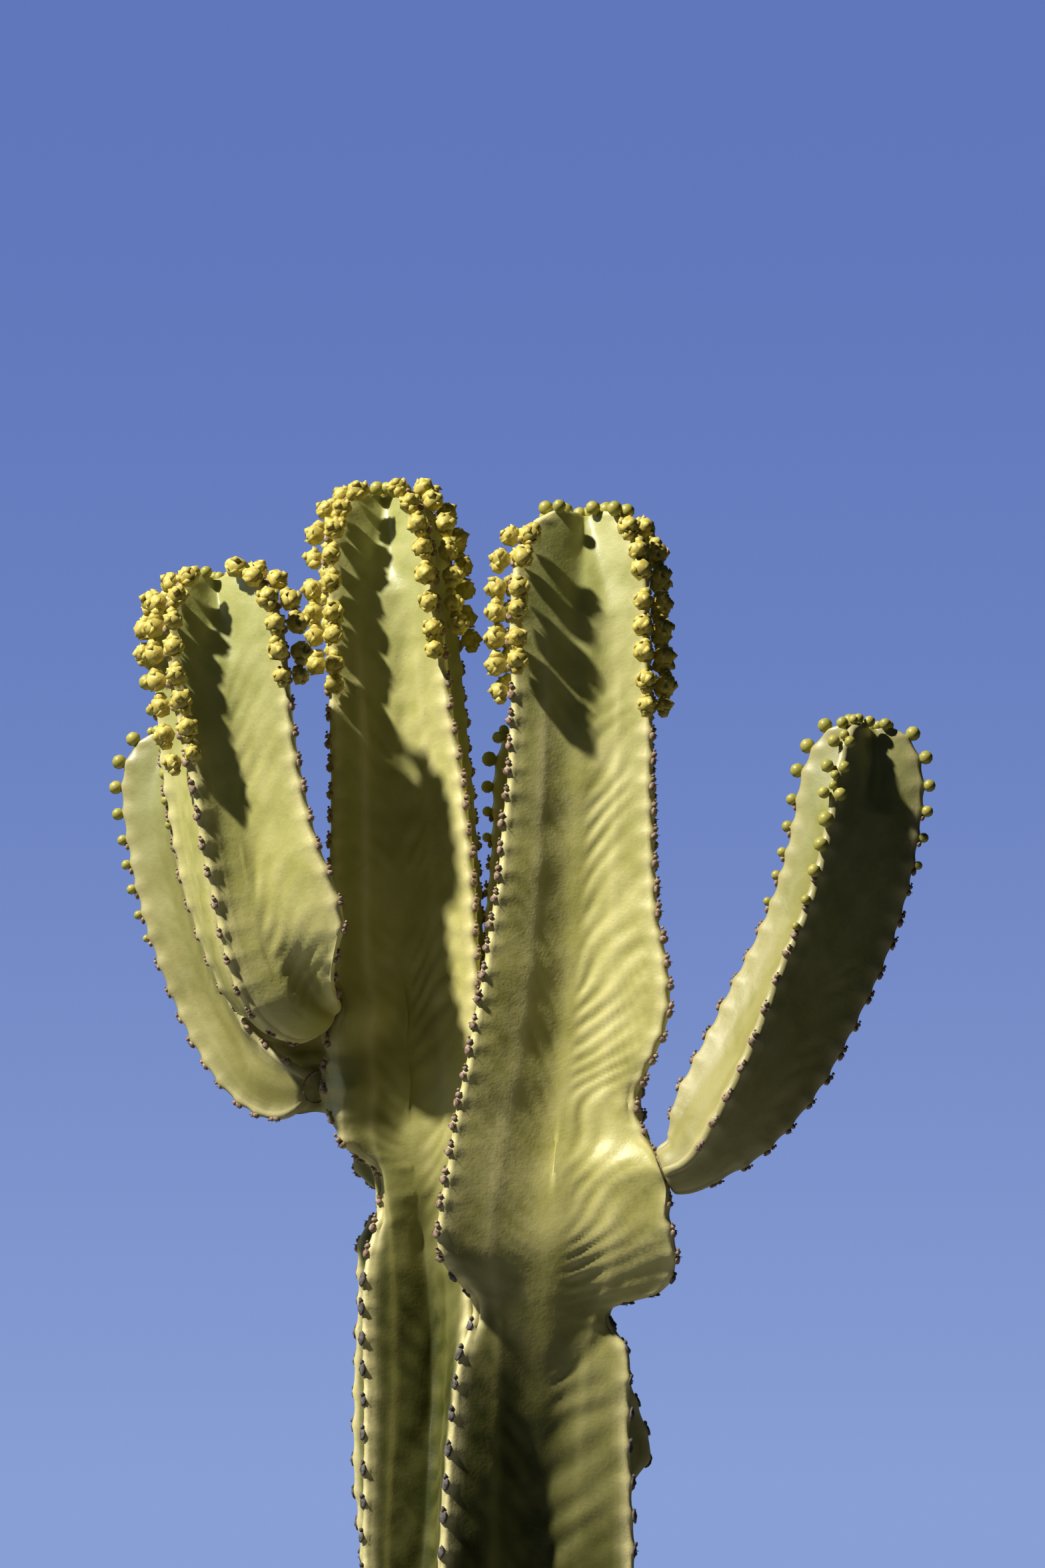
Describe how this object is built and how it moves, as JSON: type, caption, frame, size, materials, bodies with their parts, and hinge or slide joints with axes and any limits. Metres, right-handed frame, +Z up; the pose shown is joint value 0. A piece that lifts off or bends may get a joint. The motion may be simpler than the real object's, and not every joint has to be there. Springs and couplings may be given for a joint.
{
  "type": "candelabra tree",
  "caption": "Young candelabra tree: ribbed succulent trunk forking into upright stems, with arms that turn up at narrow joints and yellow blossom along the upper ribs.",
  "frame": {"origin": "centre of the flat cut under the trunk, at ground level", "axes": "+Z up along the trunk, +X to the right as the picture shows the plant, -Y towards the viewer"},
  "size_m": [0.4659, 0.2949, 1.5924],
  "materials": {
    "trunk_skin": "dull waxy green skin with grey spine shields, corky at the foot",
    "stem_skin": "waxy yellow-green skin with brown spine shields and yellow blossom"
  },
  "bodies": {
    "root": {"trunk": "trunk_skin", "front_stem": "stem_skin", "left_stem": "stem_skin", "back_stem": "stem_skin", "left_front_arm": "stem_skin", "left_back_arm": "stem_skin", "right_arm": "stem_skin", "rear_left_arm": "stem_skin", "rear_right_arm": "stem_skin"}
  },
  "joints": []
}
